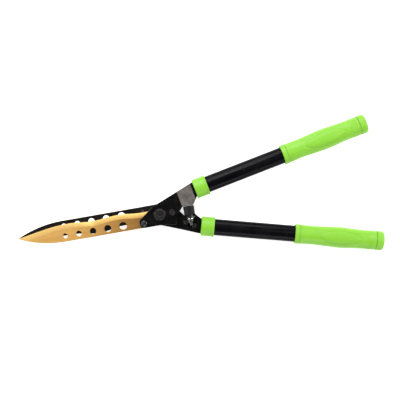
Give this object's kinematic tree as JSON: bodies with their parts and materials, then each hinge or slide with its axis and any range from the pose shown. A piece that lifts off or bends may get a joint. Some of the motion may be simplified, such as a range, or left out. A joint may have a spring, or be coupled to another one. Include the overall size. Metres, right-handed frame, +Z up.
{
  "type": "grass shears",
  "caption": "Two-handed garden shears: wavy perforated blades on pressed plates that turn on a pivot bolt, with oval tube handles, moulded grips and a rubber stop.",
  "frame": {"origin": "centre of the pivot bolt's end face, which rests on the ground, on the pivot axis", "axes": "+X from the blades to the handles along the blades' centre line, +Z up along the pivot, from the nut to the bolt's head"},
  "size_m": [0.5806, 0.22, 0.0306],
  "materials": {
    "blade": "gold-coloured hard coating on ground steel",
    "plate": "satin black",
    "screw": "blued",
    "rivet": "satin black",
    "bolt": "black, worn on the rim",
    "tube": "semi-gloss black",
    "insert": "moulded",
    "pin": "zinc plated",
    "grip": "soft lime green",
    "rubber": "matt"
  },
  "bodies": {
    "rear_half": {"bracket_rivets": "rivet", "bumper": "rubber", "bumper_bracket": "plate", "bumper_jam_nut": "bolt", "bumper_lock_nut": "pin", "bumper_stud": "pin", "bumper_washer": "pin", "disc_spring": "pin", "pivot_bolt": "bolt", "pivot_nut": "bolt", "pivot_washer": "bolt", "rear_blade": "blade", "rear_blade_screw": "screw", "rear_collar": "grip", "rear_cross_pin": "pin", "rear_end_cap": "grip", "rear_grip": "grip", "rear_handle_tube": "tube", "rear_plate": "plate", "rear_tang_rivet": "rivet", "rear_tube_insert": "insert"},
    "front_half": {"front_blade": "blade", "front_blade_screw": "screw", "front_collar": "grip", "front_cross_pin": "pin", "front_end_cap": "grip", "front_grip": "grip", "front_handle_tube": "tube", "front_plate": "plate", "front_tang_rivet": "rivet", "front_tube_insert": "insert"}
  },
  "joints": [
    {"name": "pivot", "type": "hinge", "parent": "rear_half", "child": "front_half", "pos_m": [0, 0, 0.0145], "axis": [0, 0, 1], "range_deg": [0, 50]}
  ]
}
